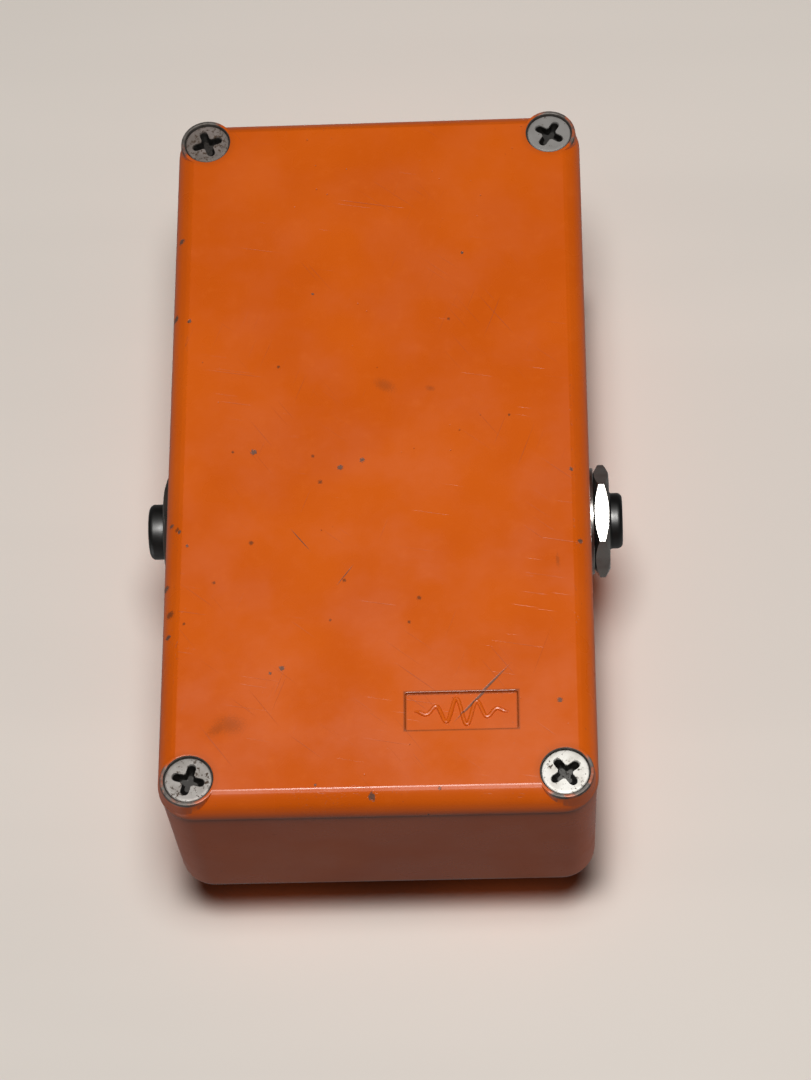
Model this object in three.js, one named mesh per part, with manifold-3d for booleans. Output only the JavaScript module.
// A small guitar effects pedal in a die-cast aluminium box, as an assembly of its separate pieces.
// Millimetres, +Z up. The origin is the centre of the base plate's underside, where the pedal
// stands. +Y points to the knob end and -Y to the footswitch end, and the input jack is on +X.

import * as THREE from 'three';
import { mergeVertices } from 'three/addons/utils/BufferGeometryUtils.js';
import Module from 'manifold-3d';

const wasm = await Module();
wasm.setup();

// ---- Driving dimensions ----

// The box
const WIDTH = 60;
const LENGTH = 112;
const FACE = 31; // height of the face that carries the knob and the footswitch
const WALL = 2;
const FACE_THICKNESS = 2.2;
const CORNER_RADIUS = 5;
const EDGE_ROUND = 2.5;
const DRAFT = 0.4; // how far each wall has leaned in by the time it reaches the face
const PARTING_STEP = 0.2; // the casting is this much smaller than the base plate on each side

// The base plate and its screws
const PLATE_HEIGHT = 4.3; // underside to the parting line
const PLATE_THICKNESS = 2.2;
const PLATE_EDGE_DEPTH = 3.6;
const LIP_TOP = 5.7; // the locating lip stands this high, inside the casting's walls
const LIP_THICKNESS = 1.3;
const SCREW_X = 25.5;
const SCREW_Y = 51.6;
const SCREW_RADIUS = 1.75;
const SCREW_END = 12.7;
const SCREW_HEAD_RADIUS = 3.2;
const SCREW_HEAD_FACE = 0.35; // how far the heads sit below the surface
const POST_RADIUS = 4.2;
const BOSS_RADIUS = 3.9; // the flat round the screws, which stands out of the plate's sloping edge
const SEAT_RIM_RADIUS = 3.5;
const SEAT_BOTTOM = 2.45; // where the countersink has narrowed to the clearance hole
const CROSS_REACH = 2.1;
const CROSS_HALF_WIDTH = 0.5;
const CROSS_DEPTH = 1.1;
const CROSS_ANGLES = [15, 54, 70, 32]; // how far round each screw's cross recess stopped, in degrees

// The shallow rectangular recess in the base plate
const BADGE_CENTRE = [11.6, 42.3];
const BADGE_SIZE = [15.4, 5.6];
const BADGE_DEPTH = 0.5;

// Gaps: between pieces that lie on each other, around pieces in a hole, and around moving pieces
const REST_GAP = 0.05;
const FIT_GAP = 0.3;
const RUNNING_GAP = 0.08;

// The knob and its potentiometer
const KNOB_Y = 34;
const KNOB_RADIUS = 9.4;
const KNOB_BOTTOM = FACE + 0.9;
const KNOB_TOP = 44.3;
const SHAFT_RADIUS = 3;
const POT_BUSHING_RADIUS = 4.75;
const POT_BUSHING_TOP = 37.2;
const POT_RADIUS = 12;
const POT_BOTTOM = 18.6;

// The footswitch
const SWITCH_Y = -38;
const SWITCH_BUSHING_RADIUS = 6;
const SWITCH_BUSHING_TOP = 39.4;
const BUTTON_RADIUS = 5.05;
const BUTTON_TOP = 46.6;
const PLUNGER_RADIUS = 2.3;
const SWITCH_PLATE_TOP = 25.4;
const SWITCH_BOTTOM = 10.4;

// The jacks
const JACK_Y = 5.7;
const JACK_HEIGHT = 15.5;
const JACK_BUSHING_RADIUS = 4.75;
const JACK_BORE_RADIUS = 3.25;
const JACK_NOSE_RADIUS = 4.05; // the smooth end of the bushing, beyond its nut

// The circuit board and the battery
const BOARD_BOTTOM = 12.4;
const BOARD_TOP = 14;
const BOARD_X = 25.4;
const BOARD_Y = [13.9, 47];
const BATTERY_X = [-25.6, 20];
const BATTERY_Y = [-27.6, -2];
const BATTERY_Z = [4.7, 21.5];
const WIRE_RADIUS = 0.7;

const FULL_TURN = 2 * Math.PI;
const FINE = 28; // sides of the larger round pieces
const COARSE = 18; // sides of the small ones
const CORNER_SIDES = 6;

// ---- Solids ----

// A closed solid from any closed geometry, with its faces turned outwards.
function solidOf(geometry) {
  const bare = geometry.clone();
  bare.deleteAttribute('normal');
  bare.deleteAttribute('uv');
  const merged = mergeVertices(bare);
  const points = merged.attributes.position.array;
  const corner = (i) => new THREE.Vector3().fromArray(points, 3 * i);
  const triangles = [];
  let volume = 0;
  for (let i = 0; i < merged.index.count; i += 3) {
    const [a, b, c] = merged.index.array.slice(i, i + 3);
    if (a === b || b === c || c === a) continue;
    triangles.push([a, b, c]);
    volume += corner(a).dot(corner(b).cross(corner(c)));
  }
  if (volume < 0) triangles.forEach((triangle) => triangle.reverse());
  const triVerts = new Uint32Array(triangles.flat());
  return new wasm.Manifold(new wasm.Mesh({ numProp: 3, vertProperties: points, triVerts }));
}

function geometryOf(solid) {
  const mesh = solid.getMesh();
  const geometry = new THREE.BufferGeometry();
  geometry.setAttribute('position', new THREE.BufferAttribute(mesh.vertProperties, 3));
  geometry.setIndex(new THREE.BufferAttribute(mesh.triVerts, 1));
  geometry.computeVertexNormals();
  return geometry;
}

function box([x0, x1], [y0, y1], [z0, z1]) {
  const geometry = new THREE.BoxGeometry(x1 - x0, y1 - y0, z1 - z0);
  return solidOf(geometry.translate((x0 + x1) / 2, (y0 + y1) / 2, (z0 + z1) / 2));
}

// A solid of revolution about Z. Each profile point is [radius, height].
function turned(profile, sides = FINE) {
  const points = profile.map(([radius, height]) => new THREE.Vector2(radius, height));
  return solidOf(new THREE.LatheGeometry(points, sides).rotateX(Math.PI / 2));
}

function cylinder(radius, bottom, top, { x = 0, y = 0, sides = COARSE } = {}) {
  const geometry = new THREE.CylinderGeometry(radius, radius, top - bottom, sides);
  return solidOf(geometry.rotateX(Math.PI / 2).translate(x, y, (bottom + top) / 2));
}

// A cylinder lying along X.
function crossCylinder(radius, [x0, x1], { y = 0, z = 0, sides = COARSE } = {}) {
  const geometry = new THREE.CylinderGeometry(radius, radius, x1 - x0, sides);
  return solidOf(geometry.rotateZ(Math.PI / 2).translate((x0 + x1) / 2, y, z));
}

function ring(outer, inner, bottom, top, sides = FINE) {
  const profile = [[inner, bottom], [outer, bottom], [outer, top], [inner, top], [inner, bottom]];
  return turned(profile, sides);
}

function hexNut(acrossFlats, hole, bottom, top) {
  const corner = acrossFlats / 2 / Math.cos(Math.PI / 6);
  const blank = cylinder(corner, bottom, top, { sides: 6 });
  return blank.subtract(cylinder(hole, bottom - 1, top + 1, { sides: FINE }));
}

function roundedRectangle(width, length, radius) {
  const x = width / 2 - radius;
  const y = length / 2 - radius;
  const shape = new THREE.Shape();
  shape.absarc(x, y, radius, 0, Math.PI / 2);
  shape.absarc(-x, y, radius, Math.PI / 2, Math.PI);
  shape.absarc(-x, -y, radius, Math.PI, 1.5 * Math.PI);
  shape.absarc(x, -y, radius, 1.5 * Math.PI, FULL_TURN);
  shape.closePath();
  return shape;
}

function prism(shape, bottom, top, curveSegments = CORNER_SIDES) {
  const settings = { depth: top - bottom, bevelEnabled: false, curveSegments };
  return solidOf(new THREE.ExtrudeGeometry(shape, settings).translate(0, 0, bottom));
}

function roundedPrism(width, length, radius, bottom, top) {
  return prism(roundedRectangle(width, length, radius), bottom, top);
}

// A block with rounded corners and rounded end edges, as a geometry.
function roundedBlock({ width, length, radius, edge, edgeDepth = edge, bottom, top }) {
  const shape = roundedRectangle(width - 2 * edge, length - 2 * edge, radius - edge);
  const geometry = new THREE.ExtrudeGeometry(shape, {
    depth: top - bottom - 2 * edgeDepth,
    bevelThickness: edgeDepth,
    bevelSize: edge,
    bevelSegments: 3,
    curveSegments: CORNER_SIDES,
  });
  return geometry.translate(0, 0, bottom + edgeDepth);
}

// Leans the walls in: each side has moved in by DRAFT where it reaches the face.
function withDraft(geometry) {
  const points = geometry.attributes.position;
  for (let i = 0; i < points.count; i += 1) {
    const climbed = (points.getZ(i) - PLATE_HEIGHT) / (FACE - PLATE_HEIGHT);
    points.setX(i, points.getX(i) * (1 - (climbed * DRAFT) / (WIDTH / 2)));
    points.setY(i, points.getY(i) * (1 - (climbed * DRAFT) / (LENGTH / 2)));
  }
  return geometry;
}

// Turns a geometry made along Z to lie along X, with its X across Y and its Y up Z.
function alongX(geometry) {
  return geometry.rotateX(Math.PI / 2).rotateZ(Math.PI / 2);
}

// A flat strip of metal bent along a path of [along, up] points in the YZ plane, as wide as
// its X range. Its outline goes out along one face and comes back along the other.
function bentStrip(path, thickness, [x0, x1]) {
  const points = path.map(([along, up]) => new THREE.Vector2(along, up));
  const offsets = points.map((point, i) => {
    const before = points[Math.max(i - 1, 0)];
    const after = points[Math.min(i + 1, points.length - 1)];
    const direction = after.clone().sub(before).normalize();
    return new THREE.Vector2(-direction.y, direction.x).multiplyScalar(thickness / 2);
  });
  const near = points.map((point, i) => point.clone().add(offsets[i]));
  const far = points.map((point, i) => point.clone().sub(offsets[i])).reverse();
  const shape = new THREE.Shape([...near, ...far]);
  const geometry = new THREE.ExtrudeGeometry(shape, { depth: x1 - x0, bevelEnabled: false });
  return alongX(geometry).translate(x0, 0, 0);
}

// A round wire along a curve.
function wire(curve, radius, steps, sides = 8) {
  const section = new THREE.Shape();
  section.absarc(0, 0, radius, 0, FULL_TURN);
  const settings = { steps, extrudePath: curve, curveSegments: sides / 2 };
  return solidOf(new THREE.ExtrudeGeometry(section, settings));
}

// ---- Materials ----

const finish = (color, roughness, metalness) => () =>
  new THREE.MeshStandardMaterial({ color, roughness, metalness });

const orangePaint = finish(0xd65a12, 0.38, 0.1);
const platedSteel = finish(0x9d9a94, 0.35, 1);
const brightNickel = finish(0xc9c7c2, 0.18, 1);
const darkNickel = finish(0x4a4b4d, 0.32, 1);
const brass = finish(0xb08d48, 0.35, 1);
const springSteel = finish(0xa8a49a, 0.3, 1);
const blackPlastic = finish(0x151515, 0.42, 0);
const whitePlastic = finish(0xe4e2da, 0.45, 0);
const phenolic = finish(0x6b4326, 0.6, 0);
const boardLaminate = finish(0x8a6a2c, 0.55, 0);
const chipPlastic = finish(0x1d1d1f, 0.5, 0);
const capacitorSleeve = finish(0x1f3f7d, 0.4, 0);
const filmDip = finish(0x7c1f18, 0.4, 0);
const trimmerPlastic = finish(0x2c5fa8, 0.45, 0);
const batteryJacket = finish(0x2b2d31, 0.4, 0.4);
const foam = finish(0x2e2e2e, 0.95, 0);
const redVinyl = finish(0xb3221b, 0.45, 0);
const blackVinyl = finish(0x18181a, 0.45, 0);
const whiteVinyl = finish(0xd9d6cc, 0.45, 0);
const greenVinyl = finish(0x2f7a45, 0.45, 0);
const yellowVinyl = finish(0xd8b52c, 0.45, 0);

// ---- The assembly ----

const pedal = new THREE.Group();

function add(name, solid, material, parent = pedal) {
  const mesh = new THREE.Mesh(geometryOf(solid), material());
  mesh.name = name;
  parent.add(mesh);
  return mesh;
}

function groupAt(x, y, z) {
  const group = new THREE.Group();
  group.position.set(x, y, z);
  pedal.add(group);
  return group;
}

// The four screw places, in reading order from the knob end.
const screwPlaces = [
  [-SCREW_X, SCREW_Y],
  [SCREW_X, SCREW_Y],
  [-SCREW_X, -SCREW_Y],
  [SCREW_X, -SCREW_Y],
];

// Joins solids into one, or cuts each of them out of the first.
const joined = (first, ...others) => others.reduce((whole, piece) => whole.add(piece), first);
const cut = (first, ...others) => others.reduce((whole, piece) => whole.subtract(piece), first);

// ---- The box ----

const BODY_WIDTH = WIDTH - 2 * PARTING_STEP;
const BODY_LENGTH = LENGTH - 2 * PARTING_STEP;
const BODY_BOTTOM = PLATE_HEIGHT + REST_GAP;
const CAVITY_TOP = FACE - FACE_THICKNESS;
const CAVITY_WIDTH = BODY_WIDTH - 2 * WALL;
const CAVITY_LENGTH = BODY_LENGTH - 2 * WALL;
const CAVITY_RADIUS = CORNER_RADIUS - WALL;
const CAVITY_EDGE = 1;
const OVERRUN = 8; // how far a cutting solid runs past the surface it cuts

function enclosureBody() {
  const below = box([-WIDTH, WIDTH], [-LENGTH, LENGTH], [-3 * OVERRUN, BODY_BOTTOM]);
  const outside = solidOf(withDraft(roundedBlock({
    width: BODY_WIDTH,
    length: BODY_LENGTH,
    radius: CORNER_RADIUS,
    edge: EDGE_ROUND,
    bottom: BODY_BOTTOM - OVERRUN,
    top: FACE,
  })));
  const cavity = solidOf(withDraft(roundedBlock({
    width: CAVITY_WIDTH,
    length: CAVITY_LENGTH,
    radius: CAVITY_RADIUS,
    edge: CAVITY_EDGE,
    bottom: BODY_BOTTOM - OVERRUN,
    top: CAVITY_TOP,
  })));
  const posts = screwPlaces.map(([x, y]) =>
    cylinder(POST_RADIUS, BODY_BOTTOM - 2 * OVERRUN, FACE, { x, y }));
  const screwHoles = screwPlaces.map(([x, y]) =>
    cylinder(SCREW_RADIUS + FIT_GAP, BODY_BOTTOM - OVERRUN, SCREW_END + 2, { x, y, sides: 12 }));
  const jackHoles = [-1, 1].map((side) => {
    const reach = [side * WIDTH / 2 - OVERRUN, side * WIDTH / 2 + OVERRUN];
    return crossCylinder(JACK_BUSHING_RADIUS + FIT_GAP, reach, { y: JACK_Y, z: JACK_HEIGHT });
  });
  const knobHole = cylinder(POT_BUSHING_RADIUS + FIT_GAP, CAVITY_TOP - OVERRUN, FACE + 1,
    { y: KNOB_Y });
  const switchHole = cylinder(SWITCH_BUSHING_RADIUS + FIT_GAP, CAVITY_TOP - OVERRUN, FACE + 1,
    { y: SWITCH_Y });
  const shell = outside.subtract(cut(cavity, ...posts));
  return cut(shell, below, ...screwHoles, ...jackHoles, knobHole, switchHole);
}

// The clearance hole and the countersink of a screw.
function screwSeat(x, y) {
  const hole = SCREW_RADIUS + FIT_GAP;
  const seat = turned([
    [0, -1],
    [SEAT_RIM_RADIUS, -1],
    [SEAT_RIM_RADIUS, SCREW_HEAD_FACE + 0.35],
    [hole, SEAT_BOTTOM],
    [hole, LIP_TOP + 1],
    [0, LIP_TOP + 1],
  ], COARSE);
  return seat.translate([x, y, 0]);
}

function basePlate() {
  const lipWidth = CAVITY_WIDTH - 2 * FIT_GAP;
  const lipLength = CAVITY_LENGTH - 2 * FIT_GAP;
  const pocketWidth = lipWidth - 2 * LIP_THICKNESS;
  const pocketLength = lipLength - 2 * LIP_THICKNESS;
  const pocketRadius = CAVITY_RADIUS - LIP_THICKNESS;
  const above = box([-WIDTH, WIDTH], [-LENGTH, LENGTH], [PLATE_HEIGHT, PLATE_HEIGHT + 3 * OVERRUN]);
  const blank = solidOf(roundedBlock({
    width: WIDTH,
    length: LENGTH,
    radius: CORNER_RADIUS,
    edge: EDGE_ROUND,
    edgeDepth: PLATE_EDGE_DEPTH,
    bottom: 0,
    top: PLATE_HEIGHT + OVERRUN,
  })).subtract(above);
  const bosses = screwPlaces.map(([x, y]) => cylinder(BOSS_RADIUS, 0, PLATE_HEIGHT, { x, y }));
  const posts = screwPlaces.map(([x, y]) => cylinder(POST_RADIUS + 1, 0, OVERRUN, { x, y }));
  const clearOfPosts = screwPlaces.map(([x, y]) =>
    cylinder(POST_RADIUS + FIT_GAP, PLATE_HEIGHT, OVERRUN, { x, y }));
  const pocket = cut(
    roundedPrism(pocketWidth, pocketLength, pocketRadius, PLATE_THICKNESS, OVERRUN), ...posts);
  const lip = cut(
    roundedPrism(lipWidth, lipLength, CAVITY_RADIUS - FIT_GAP, PLATE_THICKNESS + 0.5, LIP_TOP),
    roundedPrism(pocketWidth, pocketLength, pocketRadius, 0, OVERRUN),
    ...clearOfPosts);
  const badge = box(
    [BADGE_CENTRE[0] - BADGE_SIZE[0] / 2, BADGE_CENTRE[0] + BADGE_SIZE[0] / 2],
    [BADGE_CENTRE[1] - BADGE_SIZE[1] / 2, BADGE_CENTRE[1] + BADGE_SIZE[1] / 2],
    [-1, BADGE_DEPTH]);
  const seats = screwPlaces.map(([x, y]) => screwSeat(x, y));
  return cut(joined(blank.subtract(pocket), lip, ...bosses), badge, ...seats);
}

function lidScrew() {
  const blank = turned([
    [0, SCREW_HEAD_FACE],
    [SCREW_HEAD_RADIUS, SCREW_HEAD_FACE],
    [SCREW_HEAD_RADIUS, SCREW_HEAD_FACE + 0.3],
    [SCREW_RADIUS, SEAT_BOTTOM + REST_GAP],
    [SCREW_RADIUS, SCREW_END - 0.6],
    [SCREW_RADIUS - 0.6, SCREW_END],
    [0, SCREW_END],
  ], COARSE);
  const long = [-CROSS_REACH, CROSS_REACH];
  const short = [-CROSS_HALF_WIDTH, CROSS_HALF_WIDTH];
  const deep = [-1, SCREW_HEAD_FACE + CROSS_DEPTH];
  return cut(blank, box(long, short, deep), box(short, long, deep));
}

const FOAM = { width: 44, length: 72, height: 2, y: 9.5 };

function foamPad() {
  const bottom = PLATE_THICKNESS + REST_GAP;
  const geometry = new THREE.ExtrudeGeometry(roundedRectangle(FOAM.width, FOAM.length, 2), {
    depth: FOAM.height,
    bevelEnabled: false,
    curveSegments: 3,
  });
  return solidOf(geometry.translate(0, FOAM.y, bottom));
}

add('enclosure_body', enclosureBody(), orangePaint);
add('base_plate', basePlate(), orangePaint);
screwPlaces.forEach(([x, y], i) => {
  const screw = add(`lid_screw_${i + 1}`, lidScrew(), platedSteel);
  screw.position.set(x, y, 0);
  screw.rotation.z = THREE.MathUtils.degToRad(CROSS_ANGLES[i]);
});
add('foam_pad', foamPad(), foam);

// ---- The knob and its potentiometer ----

const KNOB_NUT_ROOM = 7.9; // radius of the hollow over the pot's nut
const SET_SCREW_HEIGHT = 40.6;
const SET_SCREW_RADIUS = 1.45;

function knob() {
  const body = turned([
    [KNOB_NUT_ROOM, KNOB_BOTTOM],
    [KNOB_RADIUS, KNOB_BOTTOM],
    [KNOB_RADIUS, KNOB_BOTTOM + 1.2],
    [KNOB_RADIUS - 0.9, KNOB_TOP - 1],
    [KNOB_RADIUS - 1.9, KNOB_TOP],
    [0, KNOB_TOP],
    [0, KNOB_TOP - 1.6],
    [SHAFT_RADIUS + REST_GAP, KNOB_TOP - 1.6],
    [SHAFT_RADIUS + REST_GAP, POT_BUSHING_TOP + 0.5],
    [POT_BUSHING_RADIUS + FIT_GAP, POT_BUSHING_TOP + 0.5],
    [POT_BUSHING_RADIUS + FIT_GAP, KNOB_BOTTOM + 3.2],
    [KNOB_NUT_ROOM, KNOB_BOTTOM + 3.2],
    [KNOB_NUT_ROOM, KNOB_BOTTOM],
  ]);
  const hole = solidOf(new THREE.CylinderGeometry(SET_SCREW_RADIUS + FIT_GAP,
    SET_SCREW_RADIUS + FIT_GAP, KNOB_RADIUS, 12).translate(0, -KNOB_RADIUS / 2 - 2, SET_SCREW_HEIGHT));
  return body.subtract(hole);
}

function knobSetScrew() {
  const geometry = new THREE.CylinderGeometry(SET_SCREW_RADIUS, SET_SCREW_RADIUS, 4, 12);
  const slot = box([-SET_SCREW_RADIUS, SET_SCREW_RADIUS], [-9, -6.5],
    [SET_SCREW_HEIGHT - 0.25, SET_SCREW_HEIGHT + 0.25]);
  return solidOf(geometry.translate(0, -5.1, SET_SCREW_HEIGHT)).subtract(slot);
}

// The shaft carries the rotor disc, which turns the wiper against the wafer's track.
function potShaft() {
  return turned([
    [0, POT_BOTTOM + 1.2],
    [POT_RADIUS - 2, POT_BOTTOM + 1.2],
    [POT_RADIUS - 2, POT_BOTTOM + 5.6],
    [SHAFT_RADIUS, POT_BOTTOM + 5.6],
    [SHAFT_RADIUS, KNOB_TOP - 1.9],
    [0, KNOB_TOP - 1.9],
  ]);
}

const WAFER_BOTTOM = 25;
const WAFER_TOP = 26.6;
const WAFER_TAB_REACH = 15.6;

function potBushing() {
  return turned([
    [SHAFT_RADIUS + RUNNING_GAP, WAFER_TOP + REST_GAP],
    [POT_RADIUS, WAFER_TOP + REST_GAP],
    [POT_RADIUS, CAVITY_TOP - 0.9],
    [POT_BUSHING_RADIUS, CAVITY_TOP - 0.9],
    [POT_BUSHING_RADIUS, POT_BUSHING_TOP],
    [SHAFT_RADIUS + RUNNING_GAP, POT_BUSHING_TOP],
    [SHAFT_RADIUS + RUNNING_GAP, WAFER_TOP + REST_GAP],
  ]);
}

function potCan() {
  const top = WAFER_BOTTOM - REST_GAP;
  const inner = POT_RADIUS - 0.9;
  return turned([
    [0, POT_BOTTOM],
    [POT_RADIUS - 1, POT_BOTTOM],
    [POT_RADIUS, POT_BOTTOM + 1],
    [POT_RADIUS, top],
    [inner, top],
    [inner, POT_BOTTOM + 0.9],
    [0, POT_BOTTOM + 0.9],
  ]);
}

function potWafer() {
  const disc = cylinder(POT_RADIUS, WAFER_BOTTOM, WAFER_TOP, { sides: FINE });
  const tab = box([-9, 9], [-WAFER_TAB_REACH, 0], [WAFER_BOTTOM, WAFER_TOP]);
  const hole = cylinder(SHAFT_RADIUS + FIT_GAP, WAFER_BOTTOM - 1, WAFER_TOP + 1);
  return joined(disc, tab).subtract(hole);
}

// Each lug lies under the wafer's tab and turns down to the circuit board.
function potLug(x) {
  const level = WAFER_BOTTOM - 0.4;
  const path = [[-12.9, level], [-15.4, level], [-16.2, level - 0.8], [-16.2, BOARD_TOP + FIT_GAP]];
  return solidOf(bentStrip(path, 0.6, [x - 1.2, x + 1.2]));
}

const knobGroup = groupAt(0, KNOB_Y, 0);
add('knob', knob(), blackPlastic, knobGroup);
add('knob_set_screw', knobSetScrew(), platedSteel, knobGroup);
add('pot_shaft', potShaft(), brass, knobGroup);
add('pot_bushing', potBushing(), brass, knobGroup);
add('pot_can', potCan(), platedSteel, knobGroup);
add('pot_wafer', potWafer(), phenolic, knobGroup);
[-5.5, 0, 5.5].forEach((x, i) => {
  add(`pot_lug_${i + 1}`, potLug(x), brass, knobGroup);
});
add('pot_washer', ring(7.2, POT_BUSHING_RADIUS + FIT_GAP, FACE + REST_GAP, FACE + 0.65), brightNickel,
  knobGroup);
add('pot_nut', hexNut(12.7, POT_BUSHING_RADIUS + FIT_GAP, FACE + 0.7, FACE + 2.9), brightNickel,
  knobGroup);

// ---- The footswitch ----

const SWITCH_HOUSING = [13.6, 8.4]; // half sizes
const SWITCH_TAB = 0.9;
const SWITCH_CAVITY_BOTTOM = 13.2;
const PLUNGER_FLANGE_TOP = 23.9;
const PLUNGER_FLANGE_BOTTOM = 22.7;
const PLUNGER_FLANGE_RADIUS = 4.2;
const PLUNGER_TOP = 29.4;
const PLUNGER_BOTTOM = 16.2;
const LUG_SPACING = 4.8;

function footswitchButton() {
  return turned([
    [0, PLUNGER_TOP + REST_GAP],
    [BUTTON_RADIUS, PLUNGER_TOP + REST_GAP],
    [BUTTON_RADIUS, BUTTON_TOP - 1.5],
    [BUTTON_RADIUS - 0.5, BUTTON_TOP - 0.6],
    [BUTTON_RADIUS - 1.6, BUTTON_TOP - 0.15],
    [0, BUTTON_TOP],
  ]);
}

function footswitchPlunger() {
  return turned([
    [0, PLUNGER_BOTTOM],
    [PLUNGER_RADIUS, PLUNGER_BOTTOM],
    [PLUNGER_RADIUS, PLUNGER_FLANGE_BOTTOM],
    [PLUNGER_FLANGE_RADIUS, PLUNGER_FLANGE_BOTTOM],
    [PLUNGER_FLANGE_RADIUS, PLUNGER_FLANGE_TOP],
    [PLUNGER_RADIUS, PLUNGER_FLANGE_TOP],
    [PLUNGER_RADIUS, PLUNGER_TOP],
    [0, PLUNGER_TOP],
  ], COARSE);
}

// The return spring: a helix around the plunger, between the housing's floor and the flange.
class Helix extends THREE.Curve {
  constructor(radius, bottom, top, turns) {
    super();
    Object.assign(this, { radius, bottom, top, turns });
  }

  getPoint(t, target = new THREE.Vector3()) {
    const angle = t * this.turns * FULL_TURN;
    const height = this.bottom + t * (this.top - this.bottom);
    return target.set(this.radius * Math.cos(angle), this.radius * Math.sin(angle), height);
  }
}

function footswitchSpring() {
  const wireRadius = 0.4;
  const clear = wireRadius + 0.1;
  const helix = new Helix(3.4, SWITCH_CAVITY_BOTTOM + clear, PLUNGER_FLANGE_BOTTOM - clear, 5);
  return wire(helix, wireRadius, 60, 6);
}

function footswitchBushing() {
  return ring(SWITCH_BUSHING_RADIUS, BUTTON_RADIUS + RUNNING_GAP, SWITCH_PLATE_TOP + REST_GAP,
    SWITCH_BUSHING_TOP);
}

// A plate across the top of the housing with a tab folded down each long side.
function footswitchFrame() {
  const [halfX, halfY] = SWITCH_HOUSING;
  const reach = halfY + FIT_GAP + SWITCH_TAB;
  const plate = box([-halfX - 0.4, halfX + 0.4], [-reach, reach], [24.3, SWITCH_PLATE_TOP]);
  const tabs = [-1, 1].map((side) => {
    const faces = [side * (halfY + FIT_GAP), side * reach].sort((a, b) => a - b);
    return box([-8, 8], faces, [14, 24.8]);
  });
  const hole = cylinder(PLUNGER_RADIUS + FIT_GAP, 20, 30);
  return joined(plate, ...tabs).subtract(hole);
}

function footswitchHousing() {
  const [halfX, halfY] = SWITCH_HOUSING;
  const block = box([-halfX, halfX], [-halfY, halfY], [SWITCH_BOTTOM, 24.25]);
  return block.subtract(cylinder(4.8, SWITCH_CAVITY_BOTTOM, 30));
}

function footswitchLug() {
  const tongue = box([-1.2, 1.2], [-0.35, 0.35], [SWITCH_BOTTOM - 4.6, SWITCH_BOTTOM - REST_GAP]);
  const eye = box([-0.5, 0.5], [-1, 1], [SWITCH_BOTTOM - 3.9, SWITCH_BOTTOM - 2.1]);
  return tongue.subtract(eye);
}

const switchGroup = groupAt(0, SWITCH_Y, 0);
add('footswitch_button', footswitchButton(), brightNickel, switchGroup);
add('footswitch_plunger', footswitchPlunger(), whitePlastic, switchGroup);
add('footswitch_spring', footswitchSpring(), springSteel, switchGroup);
add('footswitch_bushing', footswitchBushing(), brightNickel, switchGroup);
add('footswitch_frame', footswitchFrame(), platedSteel, switchGroup);
add('footswitch_housing', footswitchHousing(), phenolic, switchGroup);
add('footswitch_inner_nut', hexNut(14, SWITCH_BUSHING_RADIUS + FIT_GAP, 26.3, 28.5), brightNickel,
  switchGroup);
add('footswitch_washer', ring(9.4, SWITCH_BUSHING_RADIUS + FIT_GAP, FACE + REST_GAP, FACE + 0.75),
  brightNickel, switchGroup);
add('footswitch_outer_nut', hexNut(14.3, SWITCH_BUSHING_RADIUS + FIT_GAP, FACE + 0.8, FACE + 3.2),
  brightNickel, switchGroup);
[-1, 1].forEach((row) => [-1, 0, 1].forEach((column) => {
  const number = 3 * (row + 1) / 2 + column + 2;
  const lug = add(`footswitch_lug_${number}`, footswitchLug(), brass, switchGroup);
  lug.position.set(2 * column * LUG_SPACING, row * LUG_SPACING, 0);
}));

// ---- The jacks ----
// Each is made about +Z, pointing out of the box, with the wall's outer face at 0 and +Y up.

const JACK_PLATE = [-4.9, -3.9];
const JACK_ARM = [7, 7.9];
const JACK_STACK_TOP = 10.6;
const JACK_FLANGE = { radius: 6.2, back: -3.8, front: -2.5 };

function jackBushing(reach, threadEnd) {
  return turned([
    [JACK_BORE_RADIUS, JACK_FLANGE.back],
    [JACK_FLANGE.radius, JACK_FLANGE.back],
    [JACK_FLANGE.radius, JACK_FLANGE.front],
    [JACK_BUSHING_RADIUS, JACK_FLANGE.front],
    [JACK_BUSHING_RADIUS, threadEnd],
    [JACK_NOSE_RADIUS, threadEnd + 0.3],
    [JACK_NOSE_RADIUS, reach - 0.4],
    [JACK_NOSE_RADIUS - 0.4, reach],
    [JACK_BORE_RADIUS, reach],
    [JACK_BORE_RADIUS, JACK_FLANGE.back],
  ], 24);
}

// A plate behind the wall with an arm that carries the contacts.
function jackFrame() {
  const plate = box([-7.2, 7.2], [-7.5, JACK_ARM[1]], JACK_PLATE);
  const arm = box([-4.5, 4.5], JACK_ARM, [-16.5, JACK_PLATE[1]]);
  return joined(plate, arm).subtract(cylinder(JACK_BORE_RADIUS + FIT_GAP, -6, -2));
}

function jackInsulator() {
  return box([-4.3, 4.3], [JACK_ARM[1] + REST_GAP, JACK_STACK_TOP], [-15.8, -7]);
}

// A contact leaf: back from the insulator, round, and forward again to touch the plug at
// touchDepth inside the wall. Its path is in [depth inside the wall, up].
function jackContact(touchDepth, across) {
  const level = JACK_STACK_TOP + 0.5;
  const path = [
    [5.9, level],
    [touchDepth - 3.4, level],
    [touchDepth + 0.6, level - 1.4],
    [touchDepth + 1.8, level - 3.8],
    [touchDepth, 3.5],
    [touchDepth - 1.6, 5.4],
  ];
  return solidOf(bentStrip(path, 0.4, across).rotateX(-Math.PI / 2));
}

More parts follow.
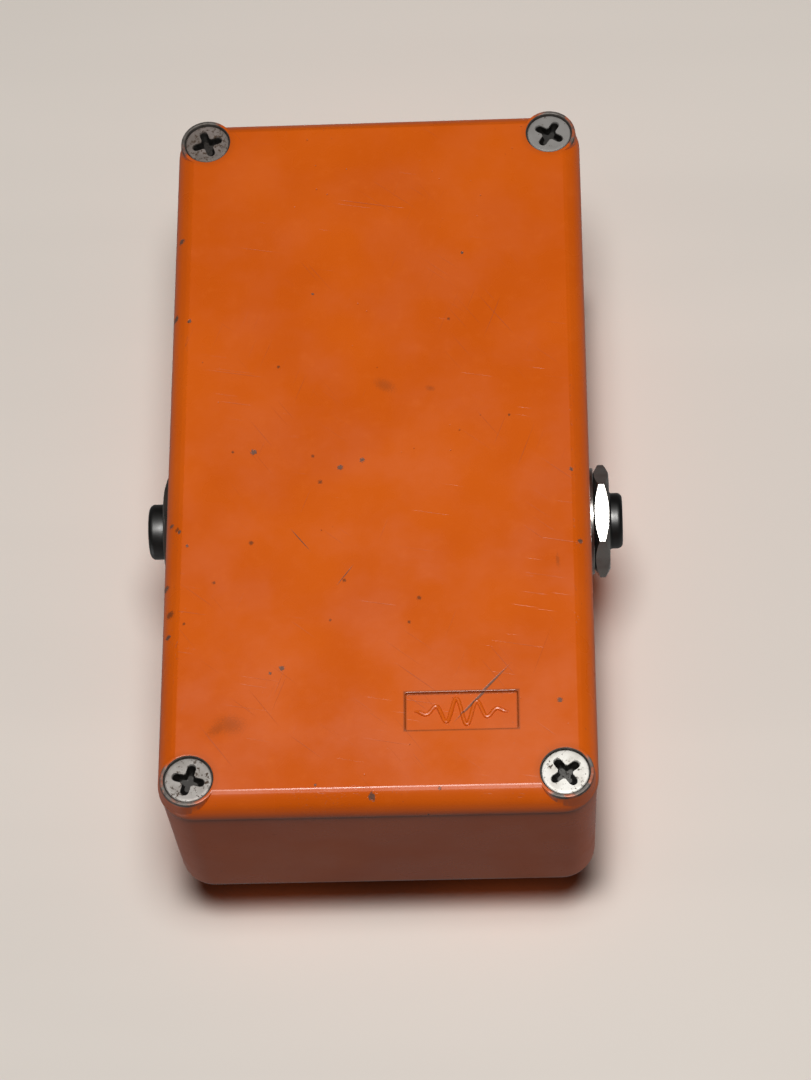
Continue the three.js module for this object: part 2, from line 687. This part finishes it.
// reach is how far the bushing stands out of the wall. The washer and the nut are
// [outer radius, bottom, top] and [bottom, top], and nutTurn is how far round the nut stopped
// from having a corner on top, in degrees.
function addJack(name, side, { reach, washer, nut: [nutBottom, nutTop], nutTurn, contacts }) {
  const wallAt = WIDTH / 2 - PARTING_STEP
    - (DRAFT * (JACK_HEIGHT - PLATE_HEIGHT)) / (FACE - PLATE_HEIGHT);
  const jack = groupAt(side * wallAt, JACK_Y, JACK_HEIGHT);
  const outward = new THREE.Vector3(side, 0, 0);
  const up = new THREE.Vector3(0, 0, 1);
  const sideways = new THREE.Vector3().crossVectors(up, outward);
  jack.setRotationFromMatrix(new THREE.Matrix4().makeBasis(sideways, up, outward));
  const bore = JACK_BUSHING_RADIUS + FIT_GAP;
  add(`${name}_bushing`, jackBushing(reach, nutTop + 0.1), darkNickel, jack);
  add(`${name}_frame`, jackFrame(), brightNickel, jack);
  const [washerRadius, washerBottom, washerTop] = washer;
  add(`${name}_washer`, ring(washerRadius, bore, washerBottom, washerTop, 24), brightNickel, jack);
  const nut = add(`${name}_nut`, hexNut(14.3, bore, nutBottom, nutTop), brightNickel, jack);
  nut.rotation.z = -side * THREE.MathUtils.degToRad(nutTurn);
  add(`${name}_insulator`, jackInsulator(), phenolic, jack);
  contacts.forEach(([contact, touchDepth, across]) => {
    add(`${name}_${contact}`, jackContact(touchDepth, across), springSteel, jack);
  });
}

// The input jack has a ring contact too, which switches the battery on. Its washer is outside,
// and the output jack has a thinner nut and its washer inside.
addJack('input_jack', 1, {
  reach: 5.05,
  washer: [7.7, 0.2, 0.9],
  nut: [0.95, 3.15],
  nutTurn: 12,
  contacts: [['tip_contact', 23, [-3.9, -0.4]], ['ring_contact', 18.6, [0.4, 3.9]]],
});
addJack('output_jack', -1, {
  reach: 4.25,
  washer: [6.4, -2.45, -2.15],
  nut: [0.2, 1.7],
  nutTurn: 42,
  contacts: [['tip_contact', 23, [-2.2, 2.2]]],
});

// ---- The circuit board ----
// The parts hang from its underside, so that the open base shows them.

function circuitBoard() {
  const [near, far] = BOARD_Y;
  const shape = roundedRectangle(2 * BOARD_X, far - near, 1);
  const geometry = new THREE.ExtrudeGeometry(shape, {
    depth: BOARD_TOP - BOARD_BOTTOM,
    bevelEnabled: false,
    curveSegments: 3,
  });
  return solidOf(geometry.translate(0, (near + far) / 2, BOARD_BOTTOM));
}

// An eight-legged chip, as a body with four legs down each long side.
function opAmp() {
  const shoulder = 1.9; // below the board
  const body = box([-4.8, 4.8], [-3.2, 3.2], [-4.1, -0.8]);
  const legs = [-3, -1, 1, 3].flatMap((step) => [-1, 1].flatMap((side) => {
    const across = [step * 1.27 - 0.25, step * 1.27 + 0.25];
    const outside = [3.1 * side, 3.9 * side].sort((a, b) => a - b);
    const upright = [3.6 * side, 3.9 * side].sort((a, b) => a - b);
    return [box(across, outside, [-shoulder - 0.3, -shoulder]), box(across, upright,
      [-shoulder - 0.2, -REST_GAP])];
  }));
  return joined(body, ...legs);
}

function electrolyticCap() {
  return turned([
    [0, -7],
    [2.8, -7],
    [3.1, -6.7],
    [3.1, -1.4],
    [2.9, -1.1],
    [3.1, -0.8],
    [3.1, -0.4],
    [2.8, -REST_GAP],
    [0, -REST_GAP],
  ], COARSE);
}

function filmCap() {
  return roundedPrism(7.4, 2.8, 1.2, -6.4, -0.3);
}

const TRIMMER_ROTOR_RADIUS = 2.1;
const TRIMMER_FACE = -4.6;

function trimmerBody() {
  const body = box([-3.4, 3.4], [-3.4, 3.4], [TRIMMER_FACE, -REST_GAP]);
  return body.subtract(cylinder(TRIMMER_ROTOR_RADIUS + RUNNING_GAP, -9, TRIMMER_FACE + 2));
}

function trimmerRotor() {
  const disc = cylinder(TRIMMER_ROTOR_RADIUS, TRIMMER_FACE - 0.3, TRIMMER_FACE + 1.95);
  const slot = box([-1.6, 1.6], [-0.3, 0.3], [-9, TRIMMER_FACE + 0.5]);
  return disc.subtract(slot);
}

function addToBoard(name, solid, material, x, y, turn = 0) {
  const mesh = add(name, solid, material);
  mesh.position.set(x, y, BOARD_BOTTOM);
  mesh.rotation.z = turn;
}

add('circuit_board', circuitBoard(), boardLaminate);
addToBoard('op_amp_1', opAmp(), chipPlastic, -15, 35.5);
addToBoard('op_amp_2', opAmp(), chipPlastic, 1, 35.5);
addToBoard('electrolytic_cap', electrolyticCap(), capacitorSleeve, -19.5, 21);
addToBoard('film_cap', filmCap(), filmDip, 16, 37);
addToBoard('trimmer_body', trimmerBody(), trimmerPlastic, 19, 22.5);
addToBoard('trimmer_rotor', trimmerRotor(), whitePlastic, 19, 22.5);

// ---- The battery and its snap ----

const BATTERY_MIDDLE = [(BATTERY_Y[0] + BATTERY_Y[1]) / 2, (BATTERY_Z[0] + BATTERY_Z[1]) / 2];
const TERMINAL_SPACING = 12.7;
const TERMINALS = [[-1, 3.9], [1, 2.9]]; // side, radius
const TERMINAL_REACH = 2.6;
const SNAP_REACH = 4.2;

function terminalSolids(extra) {
  return TERMINALS.map(([side, radius]) => crossCylinder(radius + extra,
    [BATTERY_X[1] - 1, BATTERY_X[1] + TERMINAL_REACH + extra],
    { y: BATTERY_MIDDLE[0] + (side * TERMINAL_SPACING) / 2, z: BATTERY_MIDDLE[1], sides: 16 }));
}

function battery() {
  const shape = roundedRectangle(BATTERY_Y[1] - BATTERY_Y[0], BATTERY_Z[1] - BATTERY_Z[0], 2.2);
  const case_ = alongX(new THREE.ExtrudeGeometry(shape, {
    depth: BATTERY_X[1] - BATTERY_X[0],
    bevelEnabled: false,
    curveSegments: 4,
  })).translate(BATTERY_X[0], ...BATTERY_MIDDLE);
  return joined(solidOf(case_), ...terminalSolids(0));
}

function batterySnap() {
  const shape = roundedRectangle(24.4, 13, 2);
  const cap = alongX(new THREE.ExtrudeGeometry(shape, {
    depth: SNAP_REACH - FIT_GAP,
    bevelEnabled: false,
    curveSegments: 4,
  })).translate(BATTERY_X[1] + FIT_GAP, ...BATTERY_MIDDLE);
  return cut(solidOf(cap), ...terminalSolids(FIT_GAP));
}

add('battery', battery(), batteryJacket);
add('battery_snap', batterySnap(), blackVinyl);

// ---- The wires ----

const wireRoutes = {
  red_lead: [redVinyl, [
    [22.4, -19.5, 20.35], [22.4, -19.3, 22.1], [20.4, -18, 23.1], [14, -14, 22.9],
    [8, -9, 22.9], [4, -2.6, 22.7], [2.8, 0.8, 20.9], [2.3, 5, 18.2], [2.2, 11, 15.9], [2.2, 16.4, 15.1],
  ]],
  black_lead: [blackVinyl, [
    [22.2, -9.5, 20.3], [22.8, -8.4, 23.2], [24.6, -4.5, 24.7], [25.5, 1, 24.9], [25.5, 6, 25.6],
    [24.4, 7.8, 26.6],
  ]],
  input_wire: [whiteVinyl, [
    [11.3, -33.2, 7.8], [15.5, -33.2, 8], [18.8, -32.8, 11], [19.5, -32, 18], [19.4, -28.5, 23],
    [19.6, -21, 24.4], [21.2, -10, 25.4], [23.6, -2, 26.5], [24.8, 1.5, 26.6], [24.75, 3.6, 26.6],
  ]],
  output_wire: [greenVinyl, [
    [-11.3, -33.2, 7.8], [-15.5, -33.2, 8], [-18.8, -32.8, 11], [-19.5, -32, 18],
    [-19.4, -28.5, 23], [-19.6, -21, 24.4], [-21.2, -8, 25.4], [-23.8, 0.5, 26.5],
    [-24.9, 3.8, 26.6], [-24.75, 5.7, 26.6],
  ]],
  board_wire: [yellowVinyl, [
    [0, -31.9, 7.8], [-4, -31.2, 7.2], [-12.5, -30.8, 7.4], [-16.6, -30, 12], [-16.8, -29.4, 19],
    [-14.6, -27, 23.4], [-9.5, -19, 24], [-4.5, -8, 23.6], [-2.6, 2, 20], [-2.2, 10, 16.2],
    [-2.2, 16.4, 15.1],
  ]],
};

function routedWire(route) {
  const curve = new THREE.CatmullRomCurve3(route.map((point) => new THREE.Vector3(...point)));
  const steps = Math.ceil(curve.getLength() / (5 * WIRE_RADIUS));
  return wire(curve, WIRE_RADIUS, steps);
}

Object.entries(wireRoutes).forEach(([name, [material, route]]) => {
  add(name, routedWire(route), material);
});

export default pedal;
